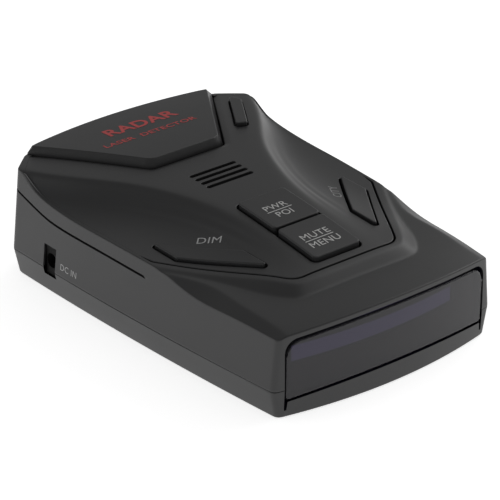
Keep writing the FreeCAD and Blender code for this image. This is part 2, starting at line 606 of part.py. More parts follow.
# ---- screws and label ----
case_heads = [rod(f"case_head{n}", 2.3, 1.5, (x, y, 0.6)) for n, (x, y) in enumerate(CASE_SCREWS)]
case_shanks = [rod(f"case_shank{n}", 1.1, 12.0, (x, y, 2.1)) for n, (x, y) in enumerate(CASE_SCREWS)]
case_screws = [fuse(f"case_screw{n}", [head, shank])
               for n, (head, shank) in enumerate(zip(case_heads, case_shanks))]
keep("case_screws", group("case_screws", case_screws))
board_heads = [rod(f"board_head{n}", 2.0, 1.1, (x, y, board_top)) for n, (x, y) in enumerate(BOARD_SCREWS)]
shank_foot = 4.4
board_shanks = [rod(f"board_shank{n}", 1.0, board_top - shank_foot, (x, y, shank_foot))
                for n, (x, y) in enumerate(BOARD_SCREWS)]
board_screws = [fuse(f"board_screw{n}", [head, shank])
                for n, (head, shank) in enumerate(zip(board_heads, board_shanks))]
keep("board_screws", group("board_screws", board_screws))
keep("rating_label", block("rating_label", (35.6, 23.6, 0.2), (-17.8, -11.8, 0.1)))

# ---- check and write ----
doc.recompute()
for obj in doc.Objects:
    if "Invalid" in obj.State or "Error" in obj.State:
        raise RuntimeError(f"{obj.Name} failed: {obj.State}")
os.makedirs("parts", exist_ok=True)
for name, obj in pieces.items():
    shape = obj.Shape
    if shape.isNull() or not shape.isValid() or not shape.Solids:
        raise RuntimeError(f"{name} is not a valid solid")
    shape.exportStep(f"parts/{name}.step")
    box = shape.BoundBox
    print(f"{name:18s} {len(shape.Solids)} solids {shape.Volume:9.1f} mm3 z {box.ZMin:6.2f} {box.ZMax:6.2f}")
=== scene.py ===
import json
import math

import bpy
import numpy as np
from mathutils import Matrix, Vector, geometry


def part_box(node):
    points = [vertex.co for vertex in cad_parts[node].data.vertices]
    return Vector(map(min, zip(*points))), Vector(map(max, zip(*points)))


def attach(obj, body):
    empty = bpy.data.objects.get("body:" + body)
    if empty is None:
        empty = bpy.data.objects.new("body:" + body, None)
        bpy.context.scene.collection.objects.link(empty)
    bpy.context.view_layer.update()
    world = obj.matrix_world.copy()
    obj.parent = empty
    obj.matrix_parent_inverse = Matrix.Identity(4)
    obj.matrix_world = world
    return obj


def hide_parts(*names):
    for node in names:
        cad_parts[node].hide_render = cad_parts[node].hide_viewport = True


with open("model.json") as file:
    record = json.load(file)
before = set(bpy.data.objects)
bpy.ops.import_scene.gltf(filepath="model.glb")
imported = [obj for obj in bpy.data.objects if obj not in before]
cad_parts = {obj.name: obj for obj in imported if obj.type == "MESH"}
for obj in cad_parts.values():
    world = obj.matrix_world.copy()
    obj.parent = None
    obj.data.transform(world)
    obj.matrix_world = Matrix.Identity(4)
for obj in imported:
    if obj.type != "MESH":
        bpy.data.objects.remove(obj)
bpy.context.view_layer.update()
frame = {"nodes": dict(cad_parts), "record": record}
mm = 0.001


def boxMm(node):
    low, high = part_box(node)
    return low / mm, high / mm


caseLow, caseHigh = boxMm("upper_case")
coverFoot = boxMm("antenna_cover")[0].z

# The case's outline: half widths at the split line and at the height where the draft is stated
case = {
    "split": caseLow.z, "draftTop": 30.0,
    "frontHalf": (30.7, 28.4), "rearHalf": (caseHigh.x, 32.7), "bulge": 1.15,
    "baseFront": 29.4, "baseRear": 33.4,
    "frontCorner": -46.0, "frontEdge": caseLow.y, "rearCorner": 40.6,
    "armHalf": 27.3, "armRear": 46.0, "rearEdge": caseHigh.y,
    "crownTop": 26.7, "crownPlace": 19.0, "crownRadius": 338.0,
    "edgeRound": 0.3, "wall": 1.9, "skinWall": 0.5,
}
# The V seam: its flat front, the slope of its arms, then the land and the sloped wall in front of it
seam = {
    "half": 14.3, "front": -33.2, "slope": 1.59, "blend": 1.6, "shift": 0.12, "lap": 0.3,
    "gap": 0.46, "edge": 0.16, "hairline": 0.06, "closesAt": -2.5, "closesOver": 3.0, "depth": 1.7,
    "land": 1.9, "landEdge": 0.3, "fall": 0.52,
}


def splineThrough(points, step=0.25):  # natural cubic through (place, value), sampled for quick use
    xs = np.array([p[0] for p in points], float)
    ys = np.array([p[1] for p in points], float)
    n = len(xs)
    gap = np.diff(xs)
    system, right = np.eye(n), np.zeros(n)
    for i in range(1, n - 1):
        system[i, i - 1:i + 2] = gap[i - 1], 2 * (gap[i - 1] + gap[i]), gap[i]
        right[i] = 6 * ((ys[i + 1] - ys[i]) / gap[i] - (ys[i] - ys[i - 1]) / gap[i - 1])
    bend = np.linalg.solve(system, right)
    grid = np.arange(xs[0], xs[-1] + step, step)
    k = np.clip(np.searchsorted(xs, grid, side="right") - 1, 0, n - 2)
    a, b, h = xs[k + 1] - grid, grid - xs[k], gap[k]
    values = (bend[k] * a ** 3 + bend[k + 1] * b ** 3) / (6 * h)
    values += (ys[k] / h - bend[k] * h / 6) * a + (ys[k + 1] / h - bend[k + 1] * h / 6) * b
    return lambda place: np.interp(place, grid, values)


# Shoulder scoops: place, inner edge, side crease and its height, steepness of the inner wall, soft edge
scoops = [
    (-52, 9.5, 31.0, 20.6, 0.45, 2.4), (-40, 9.2, 31.0, 20.8, 0.45, 2.4), (-33, 9.1, 31.2, 20.9, 0.6, 2.2),
    (-26, 9.1, 31.4, 21.0, 1.35, 2.0), (-14, 9.4, 32.0, 21.1, 2.35, 1.5), (-3.5, 10.6, 32.7, 21.2, 3.1, 1.0),
    (9, 14.7, 33.3, 21.3, 3.5, 0.7), (17.6, 19.2, 33.6, 21.3, 3.2, 0.6), (26.1, 25.4, 33.8, 21.7, 2.6, 0.6),
    (33, 30.0, 33.9, 22.7, 1.8, 0.6), (38, 32.6, 34.6, 23.9, 1.3, 0.6), (44, 35.5, 37.0, 24.6, 1.0, 0.6),
    (52, 40.0, 41.5, 24.8, 1.0, 0.6),
]
scoopInner, scoopSide, scoopFoot, scoopSteep, scoopSoft = [
    splineThrough([(row[0], row[column]) for row in scoops]) for column in range(1, 6)]
knownPlaces = (-52, 52)
ripple = {"height": 0.085, "pitch": 2.7, "middle": 3.2, "spread": 2.4, "place": 2.0, "reach": 17.0}

# Hood over the display: place, height in the middle, height at its side
hood = {"side": 28.0, "lip": 1.15, "soft": 0.12, "rows": [
    (-52, 20.5, 18.75), (-46.5, 20.55, 19.2), (-41, 20.6, 19.75), (-34.7, 20.75, 20.2), (-28, 20.85, 20.5),
    (-20, 21.0, 20.7), (8, 21.3, 21.0)]}
hoodMiddle, hoodSide = [splineThrough([(row[0], row[c]) for row in hood["rows"]]) for c in (1, 2)]
# Facet between hood and side wall: place, low edge, high edge
facets = [
    (-53, 30.0, 17.9, 27.3, 19.0), (-46.5, 30.4, 18.1, 27.5, 19.25), (-38, 31.0, 18.4, 27.6, 20.0),
    (-30, 31.4, 18.5, 27.7, 20.5), (-21.6, 31.8, 18.75, 27.8, 20.8), (-13.6, 32.2, 20.2, 29.2, 21.8),
    (-7.2, 32.6, 21.6, 31.4, 22.6), (2, 33.2, 22.4, 32.2, 24.6),
]
facetLowX, facetLowZ, facetHighX, facetHighZ = [
    splineThrough([(row[0], row[c]) for row in facets]) for c in range(1, 5)]


def softMax(a, b, width):
    return 0.5 * (a + b + np.sqrt((a - b) ** 2 + width ** 2))


def softMin(a, b, width):
    return -softMax(-a, -b, width)


def plateauZ(y):
    radius = case["crownRadius"]
    return case["crownTop"] - radius + np.sqrt(radius ** 2 - (y - case["crownPlace"]) ** 2)


def panelZ(x, y):  # plateau with a scooped shoulder on each side
    y = np.clip(y, *knownPlaces)
    inner, side, soft = scoopInner(y), scoopSide(y), scoopSoft(y)
    reach = softMax(np.abs(x) - inner, 0.0, soft)
    share = np.clip(reach / (side - inner), 0, 1)
    fall = plateauZ(y) - scoopFoot(y)
    z = plateauZ(y) - fall * (1 - (1 - share) ** scoopSteep(y))
    wave = np.cos(2 * math.pi * reach / ripple["pitch"])
    wave *= np.exp(-((reach - ripple["middle"]) / ripple["spread"]) ** 2)
    wave *= np.exp(-((y - ripple["place"]) / ripple["reach"]) ** 4)
    return z + ripple["height"] * wave


def seamDistance(x, y):  # how far in front of the V seam, negative behind it
    length = math.hypot(1, seam["slope"])
    ahead = seam["front"] - y
    beside = (seam["slope"] * (np.abs(x) - seam["half"]) - (y - seam["front"])) / length
    return softMax(ahead, beside, seam["blend"]) - seam["shift"]


def caseZ(x, y):  # hood, V wall and facet in front of the seam, and the rim beside the panel
    y = np.clip(y, *knownPlaces)
    ahead = seamDistance(x, y)
    middle, side = hoodMiddle(y), hoodSide(y)
    hoodZ = middle - (middle - side) * (np.abs(x) / hood["side"]) ** 2
    step = softMax(ahead - seam["land"], 0.0, seam["landEdge"])
    front = softMax(panelZ(x, y) - seam["fall"] * step, hoodZ, hood["soft"])
    slope = (facetHighZ(y) - facetLowZ(y)) / (facetLowX(y) - facetHighX(y))
    facetZ = facetLowZ(y) + (facetLowX(y) - np.abs(x)) * slope
    faceted = softMin(front, facetZ, hood["soft"])
    return np.where(ahead > -seam["lap"], faceted, panelZ(x, y))


def caseHalf(y, z):  # half width of the case at a place along its side
    share = (z - case["split"]) / (case["draftTop"] - case["split"])
    along = (y - case["frontCorner"]) / (case["rearCorner"] - case["frontCorner"])
    front = case["frontHalf"][0] + share * (case["frontHalf"][1] - case["frontHalf"][0])
    rear = case["rearHalf"][0] + share * (case["rearHalf"][1] - case["rearHalf"][0])
    if z < case["split"]:
        share = (case["split"] - z) / case["split"]
        front = case["frontHalf"][0] + share * (case["baseFront"] - case["frontHalf"][0])
        rear = case["rearHalf"][0] + share * (case["baseRear"] - case["rearHalf"][0])
    return front + along * (rear - front) + case["bulge"] * 4 * along * (1 - along)


def curveBy(a, control, b, t):
    return tuple((1 - t) ** 2 * p + 2 * t * (1 - t) * c + t * t * q for p, c, q in zip(a, control, b))


cornerReach = {"front": 1.2, "rear": 0.9, "arm": 0.9}


def caseAt(kind, t, z):  # a point on the right half of the outline at height z
    front, rear = caseHalf(case["frontCorner"], z), caseHalf(case["rearCorner"], z)
    bow = case["frontCorner"] - case["frontEdge"]
    rearBow = case["rearEdge"] - case["armRear"]

    def frontArc(x):
        return (x, case["frontEdge"] + bow * (x / front) ** 2)

    def rearArc(x):
        return (x, case["rearEdge"] - rearBow * (x / case["armHalf"]) ** 2)

    corner, shoulder = (front, case["frontCorner"]), (rear, case["rearCorner"])
    arm = (case["armHalf"], case["armRear"])
    down = math.hypot(arm[0] - shoulder[0], arm[1] - shoulder[1])
    toArm = ((arm[0] - shoulder[0]) / down, (arm[1] - shoulder[1]) / down)
    if kind == "front":
        return frontArc(t)
    if kind == "frontCorner":
        reach = cornerReach["front"]
        end = (caseHalf(case["frontCorner"] + reach, z), case["frontCorner"] + reach)
        return curveBy(frontArc(front - reach), corner, end, t)
    if kind == "side":
        return (caseHalf(t, z), t)
    if kind == "rearCorner":
        reach = cornerReach["rear"]
        start = (caseHalf(case["rearCorner"] - reach, z), case["rearCorner"] - reach)
        return curveBy(start, shoulder, (shoulder[0] + toArm[0] * reach, shoulder[1] + toArm[1] * reach), t)
    if kind == "sweep":
        reach = cornerReach["rear"] + t * (down - cornerReach["rear"] - cornerReach["arm"])
        return (shoulder[0] + toArm[0] * reach, shoulder[1] + toArm[1] * reach)
    if kind == "armCorner":
        reach = cornerReach["arm"]
        start = (arm[0] - toArm[0] * reach, arm[1] - toArm[1] * reach)
        return curveBy(start, arm, rearArc(arm[0] - reach), t)
    return rearArc(t)


inlet = {"place": 26.825, "half": 2.175, "low": 5.0, "high": 12.4}
opening = {"half": 28.0, "low": 3.6, "bow": 1.2, "corner": 3.0, "lowGap": 0.45, "topGap": 0.7, "slit": 1.7}
rearOpening = {"half": 20.1, "low": 8.5, "high": 19.1}
bracketSlot = {"inner": 23.0, "outer": 28.0, "low": 16.0, "high": 18.2}
notchRear = 26.3


def frontY(x):
    bow = case["frontCorner"] - case["frontEdge"]
    return case["frontEdge"] + bow * (x / case["frontHalf"][0]) ** 2


def openingTop(x, inset=0.0):  # top edge of the front opening, arched with the hood and rounded at its ends
    y = frontY(x)
    middle, side = float(hoodMiddle(y)), float(hoodSide(y))
    top = middle - (middle - side) * (x / hood["side"]) ** 2 - hood["lip"] - inset
    over = min(max(abs(x) - (opening["half"] - inset - opening["corner"]), 0), opening["corner"])
    return top - opening["corner"] + math.sqrt(opening["corner"] ** 2 - over ** 2)


def openingLow(x, inset=0.0):
    return opening["low"] + opening["bow"] * (1 - (x / opening["half"]) ** 2) + inset


def halfColumns():
    columns = [("front", x) for x in np.linspace(0, 24, 18)]
    columns += [("front", x) for x in (24.8, 25.4, 26.0, 26.5, 26.9, 27.2, 27.45, 27.7, 27.87)]
    columns += [("front", opening["half"])]
    columns += [("frontCorner", t) for t in (0.0, 0.17, 0.33, 0.5, 0.67, 0.83)]
    first, last = case["frontCorner"] + cornerReach["front"], case["rearCorner"] - cornerReach["rear"]
    inletEdges = [inlet["place"] - inlet["half"], inlet["place"] + inlet["half"]]
    columns += [("side", y) for y in np.arange(first, inletEdges[0] - 0.5, 1.0)]
    columns += [("side", y) for y in np.linspace(inletEdges[0], inletEdges[1], 6)]
    columns += [("side", y) for y in np.arange(inletEdges[1] + 0.9, last, 0.9)]
    columns += [("rearCorner", t) for t in np.linspace(0, 1, 6)]
    columns += [("sweep", t) for t in (0.2, 0.4, 0.6, 0.8)]
    columns += [("armCorner", t) for t in np.linspace(0, 0.8, 5)]
    columns += [("rear", x) for x in (notchRear, 25.6, 24.4, bracketSlot["inner"], 22.0, 20.9)]
    columns += [("rear", rearOpening["half"])]
    columns += [("rear", x) for x in np.linspace(19, 1, 13)]
    return columns


rightColumns = halfColumns()
columns = [(kind, t, 1) for kind, t in rightColumns]
columns += [(kind, t, -1) for kind, t in [("rear", 0.0)] + rightColumns[:0:-1]]


def columnAt(column, z):
    x, y = caseAt(column[0], column[1], z)
    return (x * column[2], y)


def plainMaterial(name, color, roughness):
    material = bpy.data.materials.new(name)
    material.use_nodes = True
    shader = material.node_tree.nodes["Principled BSDF"]
    shader.inputs["Base Color"].default_value = (*color, 1)
    shader.inputs["Roughness"].default_value = roughness
    return material, shader


def moulded(name, color, roughness, grain=0.00035, bump=0.12, drift=0.06, shine=0.5, coat=0.0):
    material, shader = plainMaterial(name, color, roughness)
    nodes, links = material.node_tree.nodes, material.node_tree.links
    place = nodes.new("ShaderNodeTexCoord")
    fine = nodes.new("ShaderNodeTexNoise")
    fine.inputs["Scale"].default_value = 1 / grain
    fine.inputs["Detail"].default_value = 3
    broad = nodes.new("ShaderNodeTexNoise")
    broad.inputs["Scale"].default_value = 60
    broad.inputs["Detail"].default_value = 4
    links.new(place.outputs["Object"], fine.inputs["Vector"])
    links.new(place.outputs["Object"], broad.inputs["Vector"])
    tone = nodes.new("ShaderNodeValToRGB")
    tone.color_ramp.elements[0].color = (*[c * (1 - drift * 2) for c in color], 1)
    tone.color_ramp.elements[1].color = (*[c * (1 + drift * 2) for c in color], 1)
    links.new(broad.outputs["Fac"], tone.inputs["Fac"])
    links.new(tone.outputs["Color"], shader.inputs["Base Color"])
    rough = nodes.new("ShaderNodeMapRange")
    rough.inputs["To Min"].default_value = roughness - drift
    rough.inputs["To Max"].default_value = roughness + drift
    links.new(broad.outputs["Fac"], rough.inputs["Value"])
    links.new(rough.outputs["Result"], shader.inputs["Roughness"])
    relief = nodes.new("ShaderNodeBump")
    relief.inputs["Strength"].default_value = bump
    relief.inputs["Distance"].default_value = grain * 0.1
    links.new(fine.outputs["Fac"], relief.inputs["Height"])
    links.new(relief.outputs["Normal"], shader.inputs["Normal"])
    shader.inputs["Specular IOR Level"].default_value = shine
    shader.inputs["Coat Weight"].default_value = coat
    return material


finishes = {
    "case_black": moulded("casePlastic", (0.015, 0.015, 0.0155), 0.42),
    "key_plastic": moulded("keyPlastic", (0.013, 0.013, 0.0135), 0.46, grain=0.0003),
    "black_mask": moulded("maskPlastic", (0.006, 0.006, 0.007), 0.6),
    # the inlet's black plastic, painted darker and duller than the case as painted shade of the recess it
    # sits in
    "inlet_plastic": moulded("inletPlasticPaintedShade", (0.004, 0.004, 0.004), 0.6, shine=0.1),
    "speaker_plastic": moulded("speakerPlastic", (0.02, 0.02, 0.022), 0.55),
    "chip_black": moulded("chipResin", (0.025, 0.025, 0.025), 0.55),
    "switch_body": moulded("switchResin", (0.03, 0.03, 0.032), 0.5),
    "plunger": moulded("plungerNylon", (0.45, 0.44, 0.40), 0.5),
    "board_green": moulded("boardLacquer", (0.01, 0.09, 0.035), 0.35, grain=0.0008),
    "ribbon": moulded("ribbonFilm", (0.55, 0.55, 0.52), 0.4),
    "ceramic": moulded("patchCeramic", (0.62, 0.52, 0.38), 0.6),
    "speaker_paper": moulded("conePaper", (0.05, 0.05, 0.05), 0.8),
    # black speaker cloth, painted near black as painted shade inside the speaker slots
    "mesh_cloth": moulded("meshClothPaintedShade", (0.004, 0.004, 0.004), 0.9, grain=0.0006, bump=0.6),
    "wire_sleeve": moulded("wireSleeve", (0.35, 0.02, 0.02), 0.45),
    "label": moulded("labelFilm", (0.40, 0.40, 0.41), 0.5),
}


def metal(name, color, roughness, grain=0.0006):
    material = moulded(name, color, roughness, grain=grain, bump=0.08)
    material.node_tree.nodes["Principled BSDF"].inputs["Metallic"].default_value = 1
    return material


finishes.update({
    "can_metal": metal("canMetal", (0.72, 0.72, 0.74), 0.3),
    "shield_steel": metal("shieldSteel", (0.62, 0.62, 0.63), 0.35),
    "horn_metal": metal("hornMetal", (0.60, 0.60, 0.61), 0.45, grain=0.0012),
    "magnet": metal("magnetSteel", (0.30, 0.30, 0.31), 0.4),
    "steel": metal("springSteel", (0.58, 0.58, 0.59), 0.3),
    "screw_black": metal("screwOxide", (0.06, 0.06, 0.065), 0.4),
})


def smokedFinish():
    material, shader = plainMaterial("smokedWindow", (0.012, 0.011, 0.014), 0.09)
    nodes, links = material.node_tree.nodes, material.node_tree.links
    shader.inputs["Alpha"].default_value = 0.80
    shader.inputs["IOR"].default_value = 1.49
    place = nodes.new("ShaderNodeTexCoord")
    haze = nodes.new("ShaderNodeTexNoise")
    haze.inputs["Scale"].default_value = 90
    rough = nodes.new("ShaderNodeMapRange")
    rough.inputs["To Min"].default_value = 0.07
    rough.inputs["To Max"].default_value = 0.13
    links.new(place.outputs["Object"], haze.inputs["Vector"])
    links.new(haze.outputs["Fac"], rough.inputs["Value"])
    links.new(rough.outputs["Result"], shader.inputs["Roughness"])
    return material


def displayFinish():
    material = moulded("displayGlass", (0.16, 0.13, 0.30), 0.25, grain=0.0015, bump=0.02)
    shader = material.node_tree.nodes["Principled BSDF"]
    shader.inputs["Emission Color"].default_value = (0.30, 0.24, 0.62, 1)
    shader.inputs["Emission Strength"].default_value = 1.1
    return material


finishes["smoked_window"] = smokedFinish()
finishes["display_glass"] = displayFinish()
legendWhite = moulded("legendPaint", (0.52, 0.52, 0.51), 0.6)
legendGrey = moulded("legendFaint", (0.33, 0.33, 0.33), 0.6)
legendRed = moulded("coverPaint", (0.42, 0.035, 0.035), 0.5)
slotOf = {part["node"]: part["material_slot"] for part in frame["record"]["subparts"]}
for node, obj in frame["nodes"].items():
    obj.data.materials.clear()
    obj.data.materials.append(finishes[slotOf[node]])
print("finishes made")


def cornerArc(before, here, after, radius, steps):  # an arc tangent to both sides of a corner
    here = Vector(here)
    toBefore, toAfter = Vector(before) - here, Vector(after) - here
    half = max(toBefore.angle(toAfter), 0.05) / 2
    reach = min(radius / math.tan(half), 0.49 * toBefore.length, 0.49 * toAfter.length)
    radius = reach * math.tan(half)
    middle = here + (toBefore.normalized() + toAfter.normalized()).normalized() * (radius / math.sin(half))
    start, end = here + toBefore.normalized() * reach - middle, here + toAfter.normalized() * reach - middle
    turn = start.angle_signed(end)
    arc = []
    for k in range(steps + 1):
        angle = -turn * k / steps
        arc.append((middle.x + start.x * math.cos(angle) - start.y * math.sin(angle),
                    middle.y + start.x * math.sin(angle) + start.y * math.cos(angle)))
    return arc


def roundedLoop(corners, step):  # corners are (x, y, radius), anticlockwise
    points = []
    for i, (x, y, radius) in enumerate(corners):
        before, after = corners[i - 1][:2], corners[(i + 1) % len(corners)][:2]
        points += cornerArc(before, (x, y), after, radius, 8 if radius > 0.5 else 4) if radius else [(x, y)]
    dense = []
    for a, b in zip(points, points[1:] + points[:1]):
        parts = max(1, round(math.dist(a, b) / step))
        dense += [(a[0] + (b[0] - a[0]) * k / parts, a[1] + (b[1] - a[1]) * k / parts) for k in range(parts)]
    return dense


def inward(loop, reach):  # the loop moved to its left, by one distance or one for each point
    pts = np.array(loop, float)
    ahead, behind = np.roll(pts, -1, 0) - pts, pts - np.roll(pts, 1, 0)
    ahead /= np.linalg.norm(ahead, axis=1)[:, None]
    behind /= np.linalg.norm(behind, axis=1)[:, None]
    normal = np.stack([-(ahead + behind)[:, 1], (ahead + behind)[:, 0]], 1)
    normal /= np.linalg.norm(normal, axis=1)[:, None]
    spread = np.clip(normal[:, 0] * -ahead[:, 1] + normal[:, 1] * ahead[:, 0], 0.5, 1)
    return pts + normal * (np.broadcast_to(reach, len(pts)) / spread)[:, None]


def insideLoop(points, loop):
    hit = np.zeros(len(points), bool)
    for (x0, y0), (x1, y1) in zip(loop, np.roll(loop, -1, 0)):
        if y0 == y1:
            continue
        crosses = (y0 > points[:, 1]) != (y1 > points[:, 1])
        hit ^= crosses & (points[:, 0] < (x1 - x0) * (points[:, 1] - y0) / (y1 - y0) + x0)
    return hit


def nearLoop(points, loop, reach):
    near = np.zeros(len(points), bool)
    for a, b in zip(loop, np.roll(loop, -1, 0)):
        along = b - a
        t = np.clip(((points - a) @ along) / max(along @ along, 1e-9), 0, 1)
        near |= np.linalg.norm(points - a - t[:, None] * along, axis=1) < reach
    return near


bevelSteps = [0, 30, 60, 90, 100]  # degrees of turn; past 90 is a support row on the flat
supportReach = 0.1


def plate(loops, radii, skin, spacing):  # a skin with rounded edges; the first loop is its outline
    verts, faces, rings, lastLoops = [], [], [], []
    for loop, radius in zip(loops, radii):
        radius = np.broadcast_to(radius, len(loop))
        previous = None
        for angle in bevelSteps:
            turn = math.radians(min(angle, 90))
            row = inward(loop, radius * (1 - math.cos(turn)) + (supportReach if angle > 90 else 0.0))
            z = skin(row[:, 0], row[:, 1]) - radius * (1 - math.sin(turn))
            start = len(verts)
            verts += [(x, y, h) for (x, y), h in zip(row, z)]
            ring = list(range(start, len(verts)))
            if previous:
                joinRings(faces, ring, previous)
            else:
                rings.append(ring)
            previous = ring
        lastLoops.append((row, previous))
    outline = lastLoops[0][0]
    low, high = outline.min(0), outline.max(0)
    xs, ys = np.arange(low[0], high[0], spacing), np.arange(low[1], high[1], spacing * 0.87)
    grid = np.array([(x + (0.5 * spacing if j % 2 else 0), y) for j, y in enumerate(ys) for x in xs])
    keep = insideLoop(grid, outline) & ~nearLoop(grid, outline, 0.6 * spacing)
    for row, ring in lastLoops[1:]:
        keep &= ~insideLoop(grid, row) & ~nearLoop(grid, row, 0.6 * spacing)
    grid = grid[keep]
    flat, index, edges = [], [], []
    for row, ring in lastLoops:
        base = len(flat)
        flat += [Vector(p) for p in row]
        index += ring
        edges += [(base + i, base + (i + 1) % len(row)) for i in range(len(row))]
    z = skin(grid[:, 0], grid[:, 1])
    index += list(range(len(verts), len(verts) + len(grid)))
    verts += [(x, y, h) for (x, y), h in zip(grid, z)]
    flat += [Vector(p) for p in grid]
    out, outEdges, triangles, origin, edgeOrigin, _ = geometry.delaunay_2d_cdt(flat, edges, [], 0, 1e-5)
    kept = [tuple(edge) for edge, source in zip(outEdges, edgeOrigin) if source]
    walls = {pair for edge in kept for pair in (edge, edge[::-1])}
    owner = {(t[k], t[(k + 1) % 3]): n for n, t in enumerate(triangles) for k in range(3)}
    place = {source: i for i, sources in enumerate(origin) for source in sources}
    inner = {owner[(place[a], place[b])] for a, b in edges if (place[a], place[b]) in owner}
    queue = list(inner)
    while queue:  # spread from the edge rows to every triangle between them
        t = triangles[queue.pop()]
        for pair in ((t[0], t[1]), (t[1], t[2]), (t[2], t[0])):
            beside = owner.get(pair[::-1])
            if pair not in walls and beside is not None and beside not in inner:
                inner.add(beside)
                queue.append(beside)
    extra = {}  # corners that the triangulation adds where edge rows cross
    for triangle in (triangles[n] for n in sorted(inner)):
        for i in triangle:
            if not origin[i] and i not in extra:
                extra[i] = len(verts)
                verts.append((*out[i], float(skin(np.array([out[i][0]]), np.array([out[i][1]]))[0])))
        faces.append(tuple(index[origin[i][0]] if origin[i] else extra[i] for i in triangle))
    return verts, faces, rings


def joinRings(faces, upper, lower):
    count = len(upper)
    faces += [(lower[i], lower[(i + 1) % count], upper[(i + 1) % count], upper[i]) for i in range(count)]


def asObject(name, verts, faces, finish, body, toWorld=None, wall=0.0):
    toWorld = toWorld or (lambda p: p)
    mesh = bpy.data.meshes.new(name)
    mesh.from_pydata([tuple(c * mm for c in toWorld(p)) for p in verts], [], faces)
    mesh.validate()
    mesh.update()
    mesh.shade_smooth()
    mesh.set_sharp_from_angle(angle=math.radians(42))
    uses = np.bincount([loop.edge_index for loop in mesh.loops], minlength=len(mesh.edges))
    for i in np.flatnonzero(uses == 1):  # open edges stay crisp once the wall is thickened
        mesh.edges[int(i)].use_edge_sharp = True
    obj = bpy.data.objects.new(name, mesh)
    bpy.context.scene.collection.objects.link(obj)
    mesh.materials.append(finishes[finish] if finish in finishes else finish)
    if wall:
        thicken = obj.modifiers.new("wall", "SOLIDIFY")
        thicken.thickness = wall * mm
        thicken.offset = -1
    if len(faces) > 400:
        even = obj.modifiers.new("evenNormals", "WEIGHTED_NORMAL")
        even.keep_sharp = True
        even.weight = 60
    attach(obj, body)
    return obj


def slab(name, loops, radii, skin, thickness, spacing, finish, body, toWorld=None, under=None):
    verts, faces, rings = plate(loops, radii, skin, spacing)
    count, skinFaces = len(verts), list(faces)
    under = under or (lambda x, y: skin(x, y) - thickness)
    flat = np.array(verts)
    verts += [(x, y, z) for (x, y), z in zip(flat[:, :2], under(flat[:, 0], flat[:, 1]))]
    faces += [tuple(i + count for i in reversed(face)) for face in skinFaces]
    for ring in rings:
        joinRings(faces, ring, [i + count for i in ring])
    return asObject(name, verts, faces, finish, body, toWorld=toWorld)


# Keys: outlines are shared by the key and the hole around it
keys = {
    "round": 1.0, "bladeRound": 0.4, "releaseRound": 0.6, "edge": 0.26, "holeEdge": 0.14,
    "foot": 20.6, "releaseFoot": 22.4,
    "gap": 0.56, "releaseGap": 0.3, "proud": 0.9, "bladeProud": 0.68, "releaseProud": 0.9,
    "half": 6.5, "rear": -4.4, "length": 12.7, "pitch": 13.4,
    "blade": [(15.3, -25.9), (26.9, -9.0), (26.9, -0.3), (15.5, -17.5)],
    "release": [(20.9, 25.4), (28.4, 36.9), (27.5, 40.4), (18.3, 26.5)],
}


def keyCorners(number):
    rear = keys["rear"] - number * keys["pitch"]
    front = rear - keys["length"]
    half = keys["half"]
    return [(-half, front), (half, front), (half, rear), (-half, rear)]


def withRound(points, radius):
    return [(x, y, radius) for x, y in points]


def mirrorLoop(points):
    return [(-x, y) for x, y in points[::-1]]


def reversedLoop(loop):
    return [tuple(p) for p in loop][::-1]


def holeFrom(points, radius, gap):
    return reversedLoop(inward(roundedLoop(withRound(points, radius), 0.6), -gap))


# The notch that takes the radar cover, and the panel's shallow bevel towards it
notch = {
    "front": 20.8, "half": 10.45, "rear": 44.5, "rearHalf": 25.95,
    "soft": 0.6, "bevel": 0.42, "reach": 1.3, "power": 1.3,
}
panelHalf = [  # right half of the panel's outline, from the V to the notch: x, y and corner radius
    (seam["half"], seam["front"], 4.2), (31.2, -6.3, 2.5), (31.7, -2.4, 3.0), (32.2, 15.0, 0),
    (32.4, 38.6, 1.2), (27.0, 44.3, 0.7), (notch["rearHalf"], notch["rear"], 0.5),
    (notch["half"], notch["front"], 2.2),
]
panelLeft = [(-x, y, radius) for x, y, radius in panelHalf]
panelPoints = panelLeft[:1] + panelHalf + panelLeft[:0:-1]
speakerSlots = {"count": 4, "half": 6.5, "width": 1.1, "pitch": 2.05, "place": 9.1, "edge": 0.12}


def slotHole(number):
    half, width = speakerSlots["half"], speakerSlots["width"]
    y = speakerSlots["place"] + (number - (speakerSlots["count"] - 1) / 2) * speakerSlots["pitch"]
    corners = [(-half, y - width / 2), (half, y - width / 2), (half, y + width / 2), (-half, y + width / 2)]
    return reversedLoop(roundedLoop(withRound(corners, width / 2), 0.5))


def inNotch(x, y):
    return abs(x) < notch["rearHalf"] + 0.25 and y > 15


def notchBevel(x, y):
    slope = (notch["rear"] - notch["front"]) / (notch["rearHalf"] - notch["half"])
    beside = (slope * (np.abs(x) - notch["half"]) - (y - notch["front"])) / math.hypot(1, slope)
    away = softMax(beside, notch["front"] - y, notch["soft"])
    return notch["bevel"] * np.clip(1 - away / notch["reach"], 0, 1) ** notch["power"]


def seamFade(loop):  # the seam is open along the V and closes to a hairline along the sides
    y = np.array(loop)[:, 1]
    share = np.clip((seam["closesAt"] - y) / seam["closesOver"], 0, 1)
    return seam["hairline"] + (1 - seam["hairline"]) * share


